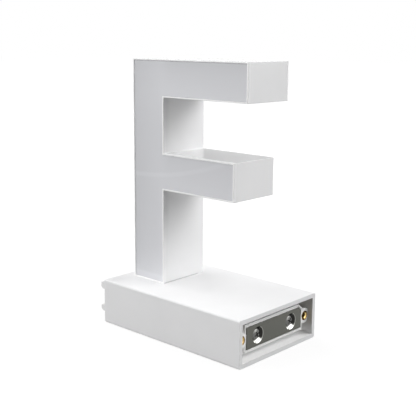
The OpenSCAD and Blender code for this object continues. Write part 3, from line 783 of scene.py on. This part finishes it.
def raised_head_screw(head, crown, shank, length, twist):
    """Countersunk screw with a domed top, along -Z with the rim of its head at z = 0."""
    profile = threaded_shank(shank, length, -(head - shank) / 2)
    profile += [(head / 2, -head * RAISED_RIM), (head / 2, 0)]
    for degrees in DOME_DEGREES:
        a = math.radians(degrees)
        profile.append((head / 2 * math.cos(a), crown * math.sin(a)))
    return finished_screw(profile, head, twist)


def pan_head_screw(head, head_height, shank, length, twist):
    """Low round-headed screw along -Z with the underside of its head at z = 0."""
    profile = shank_tip(shank, length) + [(shank / 2, 0), (head / 2, 0)]
    profile += [(head * out, head_height * up) for out, up in PAN_CURVE]
    profile.append((head * PAN_TOP, head_height - HEAD_CROWN * head))
    return finished_screw(profile, head, twist)


def turned_to(axis):
    return Vector((0, 0, 1)).rotation_difference(Vector(axis)).to_matrix().to_4x4()


def add_screws(node, build, sizes, axis, spots, twists, material=screw_steel, edge=screw_steel):
    """One piece for all the screws of a node, each turned its own way."""
    whole = bmesh.new()
    for spot, twist in zip(spots, twists):
        one = build(*sizes, twist)
        one.transform(Matrix.Scale(MM, 4) @ Matrix.Translation(spot) @ turned_to(axis))
        part = bpy.data.meshes.new("screw_part")
        one.to_mesh(part)
        one.free()
        whole.from_mesh(part)
        bpy.data.meshes.remove(part)
    piece = add_piece(node + "_fine", whole, material)
    # Second material: painted shade for the cross recesses
    piece.data.materials.append(recess_shade_black)
    piece.data.materials.append(edge)
    smooth_piece(piece, SHARP_ANGLE)
    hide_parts(node)


# Places from the model, in millimetres
AXIS_Z = 16.9
SOCKET_FRONT = 62.0
PLUG_FRONT = 69.8
HOLE_Y = 18
MAGNET_SCREW_IN = 1.65
FIX_Y = 22
FIX_X = (44.5, -57.0)
FIX_SINK = 0.05
BACK_Y = 23.5
BACK_PLACES = (
    (-53.8, 47), (-30.4, 47), (-53.8, 116.05), (35.9, 106.6),
    (35.9, 125.5), (-53.8, 191.7), (46.6, 172.8), (46.6, 191.7),
)
FOOT_X = -42.1
FOOT_Y = (-9.5, 14.5)
CEILING_Z = 30

# Screw sizes in millimetres: head, height of the crown or head where it has one, shank, length
MAGNET_SCREW = (7.9, 1.3, 3.9, 10)
FIX_SCREW = (5.6, 2.9, 9)
BACK_SCREW = (4.6, 2.3, 9)
LETTER_SCREW = (7, 2.6, 4, 12)

# How far each screw is turned, in degrees
SOCKET_TWISTS = (22, 61)
PLUG_TWISTS = (8, 40)
FIX_TWISTS = (15, 70, 33, 52)
BACK_TWISTS = (12, 67, 35, 80, 24, 51, 5, 43)
LETTER_TWISTS = (30, 75)


def add_all_screws():
    dark = (screw_dark, screw_edge_highlight)
    magnet_ends = (
        ("socket_magnet_screws", 1, SOCKET_FRONT, SOCKET_TWISTS),
        ("plug_magnet_screws", -1, PLUG_FRONT, PLUG_TWISTS),
    )
    for node, way, front, twists in magnet_ends:
        x = way * (front - MAGNET_SCREW_IN)
        spots = [(x, -HOLE_Y, AXIS_Z), (x, HOLE_Y, AXIS_Z)]
        add_screws(node, raised_head_screw, MAGNET_SCREW, (way, 0, 0), spots, twists, *dark)
    spots = [(x, y, FIX_SINK) for x in FIX_X for y in (-FIX_Y, FIX_Y)]
    add_screws("connector_screws", flat_head_screw, FIX_SCREW, (0, 0, -1), spots, FIX_TWISTS)
    spots = [(x, BACK_Y, z) for x, z in BACK_PLACES]
    add_screws("back_panel_screws", flat_head_screw, BACK_SCREW, (0, 1, 0), spots, BACK_TWISTS)
    spots = [(FOOT_X, y, CEILING_Z) for y in FOOT_Y]
    add_screws("letter_screws", pan_head_screw, LETTER_SCREW, (0, 0, -1), spots, LETTER_TWISTS)


add_all_screws()


# Springs and wires, each swept along its own line
def swept(form, points, radius, sides):
    """Round bar along points, with its rings carried along without twist."""
    points = [Vector(p) for p in points]
    last = len(points) - 1
    ends = [(points[max(i - 1, 0)], points[min(i + 1, last)]) for i in range(last + 1)]
    steps = [(after - before).normalized() for before, after in ends]
    out = steps[0].orthogonal().normalized()
    rings = []
    for i, point in enumerate(points):
        if i:
            out = steps[i - 1].rotation_difference(steps[i]) @ out
        up = steps[i].cross(out)
        ring = []
        for k in range(sides):
            a = 2 * math.pi * k / sides
            ring.append(form.verts.new(point + radius * (math.cos(a) * out + math.sin(a) * up)))
        rings.append(ring)
    for low, high in zip(rings, rings[1:]):
        for k in range(sides):
            n = (k + 1) % sides
            form.faces.new((low[k], low[n], high[n], high[k]))
    form.faces.new(list(reversed(rings[0])))
    form.faces.new(rings[-1])


def bent_line(corners, radius, steps):
    """Corners joined by straight runs and smooth bends."""
    corners = [Vector(c) for c in corners]
    points = [corners[0]]
    for before, corner, after in zip(corners, corners[1:], corners[2:]):
        start = corner + radius * (before - corner).normalized()
        end = corner + radius * (after - corner).normalized()
        for i in range(steps + 1):
            t = i / steps
            points.append((1 - t) ** 2 * start + 2 * t * (1 - t) * corner + t * t * end)
    points.append(corners[-1])
    return points


def add_swept(name, node, line, radius, sides, material):
    form = bmesh.new()
    swept(form, line, radius, sides)
    bmesh.ops.scale(form, vec=(MM, MM, MM), verts=form.verts)
    bmesh.ops.recalc_face_normals(form, faces=form.faces)
    piece = add_piece(name, form, material)
    smooth_piece(piece, SWEPT_ANGLE)
    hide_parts(node)
    return piece


# Contact springs, in millimetres
CONTACT_Y = 34.6
SPRING_FIXED_X = -56.85
SPRING_FREE_X = -66.15
SPRING_WIRE = 0.4
SPRING_SIDES = 8
SPRING_D = 3.1
SPRING_TURNS = 8
SPRING_CLOSED_TURNS = 1.0
SPRING_CLOSED_PITCH = 1.05
SPRING_STEPS = 24


def spring_line(y):
    """Coil with closed turns at both ends."""
    dead = SPRING_CLOSED_TURNS
    low, high = SPRING_FIXED_X - SPRING_WIRE / 2, SPRING_FREE_X + SPRING_WIRE / 2
    closed = SPRING_WIRE * SPRING_CLOSED_PITCH
    open_run = abs(high - low) - 2 * closed
    reach = SPRING_D / 2
    points = []
    for i in range(SPRING_TURNS * SPRING_STEPS + 1):
        turn = i / SPRING_STEPS
        gone = min(turn, dead) * closed + max(turn - SPRING_TURNS + dead, 0) * closed
        gone += min(max(turn - dead, 0) / (SPRING_TURNS - 2 * dead), 1) * open_run
        a = 2 * math.pi * turn
        points.append((low - gone, y + reach * math.cos(a), AXIS_Z + reach * math.sin(a)))
    return points


def add_springs():
    for side, sign in (("front", -1), ("rear", 1)):
        y = sign * CONTACT_Y
        piece = add_swept(f"spring_{side}", f"plug_spring_{side}", spring_line(y),
                          SPRING_WIRE / 2, SPRING_SIDES, spring_steel)
        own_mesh(piece)


# Wires, in millimetres; BUS_RUN holds the X and Z of each corner
WIRE_RADIUS = 0.9
WIRE_BEND = 3
BEND_STEPS = 8
WIRE_SIDES = 16
LEAD_X = -52.3
BUS_Y = 35.9
FLOOR_WIRE_Z = 3.95
BUS_RUN = (
    (LEAD_X, AXIS_Z), (-46.3, AXIS_Z), (-37.3, FLOOR_WIRE_Z),
    (30, FLOOR_WIRE_Z), (39, AXIS_Z), (45, AXIS_Z),
)
FEED_Y = 33.3
FEED_TURN_X = -34.6
FEED_LOW_Z = 9
FEED_TOP_Z = 52
FEED_STEP = 1
STRIP_Y = 20.3
LETTER_Y = 2.5


def add_wire(kind, side, corners, material, slot):
    line = bent_line(corners, WIRE_BEND, BEND_STEPS)
    add_swept(f"{kind}_{side}", f"{kind}_wire_{side}", line, WIRE_RADIUS, WIRE_SIDES, material)


def add_wires():
    sides = (("front", -1, wire_red, "wire_red"), ("rear", 1, wire_black, "wire_black"))
    for side, sign, *looks in sides:
        add_wire("bus", side, [(x, sign * BUS_Y, z) for x, z in BUS_RUN], *looks)
        y = sign * FEED_Y
        up_x, up_y = FOOT_X + sign * FEED_STEP, LETTER_Y + sign * FEED_STEP
        feed = [
            (LEAD_X, y, AXIS_Z), (FEED_TURN_X, y, AXIS_Z), (FEED_TURN_X, up_y, FEED_LOW_Z),
            (up_x, up_y, FEED_LOW_Z), (up_x, up_y, FEED_TOP_Z), (up_x, STRIP_Y, FEED_TOP_Z),
        ]
        add_wire("feed", side, feed, *looks)


add_springs()
add_wires()

# Lamps: place and size in metres and power in watts; each shines at the object's middle
OBJECT_MIDDLE = (0, 0, 0.09)
LAMPS = (
    ("key", (0.9, 1.05, 1.3), (1.7, 1.7), 25),
    ("key_low", (1.55, 1.0, 0.66), (1.4, 1.1), 6.1),
    ("right", (1.7, 0.1, 0.9), (1.7, 1.7), 10.4),
    ("left", (-1.7, 0.28, 1.08), (1.7, 1.7), 24.7),
    ("left_front", (-1.26, -0.84, 1.5), (1.7, 1.7), 18.9),
    ("front", (-0.49, -1.8, 0.66), (1.4, 1.4), 18.8),
    ("front_low", (-1.1, -1.54, 0.45), (1.4, 1.1), 3.2),
)


def add_lamp(name, spot, size, power):
    data = bpy.data.lights.new(name, "AREA")
    data.shape = "RECTANGLE"
    data.size, data.size_y = size
    data.energy = power
    lamp = bpy.data.objects.new(name, data)
    scene.collection.objects.link(lamp)
    lamp.location = spot
    ahead = Vector(OBJECT_MIDDLE) - Vector(spot)
    lamp.rotation_euler = ahead.to_track_quat("-Z", "Y").to_euler()


for lamp in LAMPS:
    add_lamp(*lamp)


def seen_directly(tree):
    """1 on rays from the camera, a mirror or glass, and 0 on the rest."""
    path = tree.nodes.new("ShaderNodeLightPath")
    kinds = ("Camera", "Glossy", "Transmission")
    camera, glossy, through = (path.outputs[f"Is {kind} Ray"] for kind in kinds)
    return math_node(tree, "MAXIMUM", math_node(tree, "MAXIMUM", camera, glossy), through)


# White surround, apart from a grey screen above the horizon behind the object
SCREEN_RISE = (0.1, 0.15)
SCREEN_GREY = (0.22, 0.22, 0.225)
SCREEN_WAY = (-0.674, 0.739, 0)
SCREEN_SIDE = (0.70, 0.85)
WORLD_TINT = (0.96, 0.98, 1.0, 1)
WORLD_LIGHT = 0.03


def make_world():
    world = bpy.data.worlds.new("studio")
    scene.world = world
    world.use_nodes = True
    tree = world.node_tree
    tree.nodes.clear()
    lit = tree.nodes.new("ShaderNodeBackground")
    lit.inputs["Color"].default_value = WORLD_TINT
    lit.inputs["Strength"].default_value = WORLD_LIGHT
    shown = tree.nodes.new("ShaderNodeBackground")
    coords = tree.nodes.new("ShaderNodeTexCoord")
    split = tree.nodes.new("ShaderNodeSeparateXYZ")
    tree.links.new(coords.outputs["Generated"], split.inputs["Vector"])
    rise = mapped(tree, split.outputs["Z"], 0, 1, *SCREEN_RISE)
    turn = vector_node(tree, "DOT_PRODUCT", coords.outputs["Generated"])
    turn.inputs[1].default_value = SCREEN_WAY
    side = mapped(tree, turn.outputs["Value"], 0, 1, *SCREEN_SIDE)
    screen = math_node(tree, "MULTIPLY", rise, side)
    tree.links.new(mixed(tree, screen, (1, 1, 1), SCREEN_GREY), shown.inputs["Color"])
    shown.inputs["Strength"].default_value = 1.0
    mix = tree.nodes.new("ShaderNodeMixShader")
    out = tree.nodes.new("ShaderNodeOutputWorld")
    tree.links.new(seen_directly(tree), mix.inputs["Fac"])
    tree.links.new(lit.outputs["Background"], mix.inputs[1])
    tree.links.new(shown.outputs["Background"], mix.inputs[2])
    tree.links.new(mix.outputs["Shader"], out.inputs["Surface"])


# Floor, in metres; its glow grows over GLOW_REACH from the middle, so that it turns white
FLOOR_HALF = 6
FLOOR_DROP = 0.0002
FLOOR_GREY = (0.15, 0.15, 0.15, 1)
FLOOR_ROUGHNESS = 0.9
GLOW_REACH = (0.1, 0.6)
GLOW = (0.87, 1.0)


def make_floor():
    mesh = bpy.data.meshes.new("floor")
    ways = ((-1, -1), (1, -1), (1, 1), (-1, 1))
    corners = [(x * FLOOR_HALF, y * FLOOR_HALF, 0) for x, y in ways]
    mesh.from_pydata(corners, [], [(0, 1, 2, 3)])
    floor = bpy.data.objects.new("floor", mesh)
    floor.location.z = -FLOOR_DROP
    scene.collection.objects.link(floor)
    material, tree, shader = new_material("floor_paper")
    shader.inputs["Base Color"].default_value = FLOOR_GREY
    shader.inputs["Roughness"].default_value = FLOOR_ROUGHNESS
    shader.inputs["Specular IOR Level"].default_value = 0.0
    shader.inputs["Emission Color"].default_value = (1, 1, 1, 1)
    point = tree.nodes.new("ShaderNodeNewGeometry")
    reach = vector_node(tree, "LENGTH", point.outputs["Position"]).outputs["Value"]
    glow = mapped(tree, reach, *GLOW, *GLOW_REACH)
    shown = math_node(tree, "MULTIPLY", glow, seen_directly(tree))
    tree.links.new(shown, shader.inputs["Emission Strength"])
    mesh.materials.append(material)


make_world()
make_floor()
